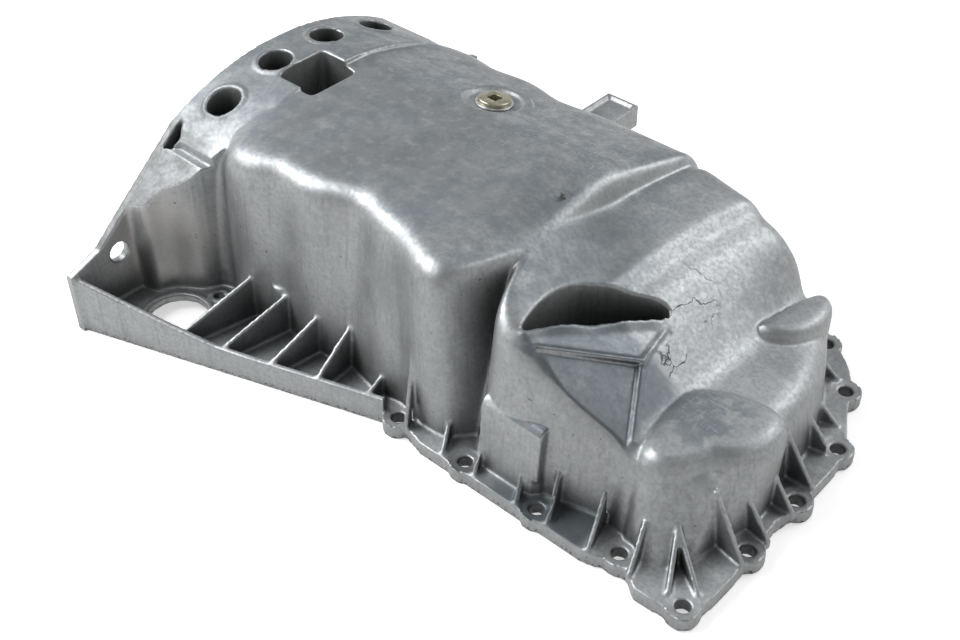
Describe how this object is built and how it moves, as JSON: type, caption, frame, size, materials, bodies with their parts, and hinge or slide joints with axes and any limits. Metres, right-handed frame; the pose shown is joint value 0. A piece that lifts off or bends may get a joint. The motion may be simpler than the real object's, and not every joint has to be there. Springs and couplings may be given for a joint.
{
  "type": "engine oil pan",
  "caption": "Cast aluminium engine oil pan with a stepped sump, wavy walls, bolted flange with ribs, gearbox arch and ears, and a drain plug.",
  "frame": {"origin": "rear (gearbox) face, on the crankshaft plane, at the sealing face", "axes": "+X from the gearbox end to the timing end, +Y across to the far side, +Z from the sealing face towards the sump floor"},
  "size_m": [0.45, 0.386, 0.1398],
  "materials": {
    "cast_aluminium": "as cast, slightly rough, scuffed",
    "zinc_steel": "zinc plated, dull olive tint",
    "sealing_ring": "soft flat ring"
  },
  "bodies": {
    "root": {"oil_pan": "cast_aluminium", "drain_plug": "zinc_steel", "drain_washer": "sealing_ring"}
  },
  "joints": []
}
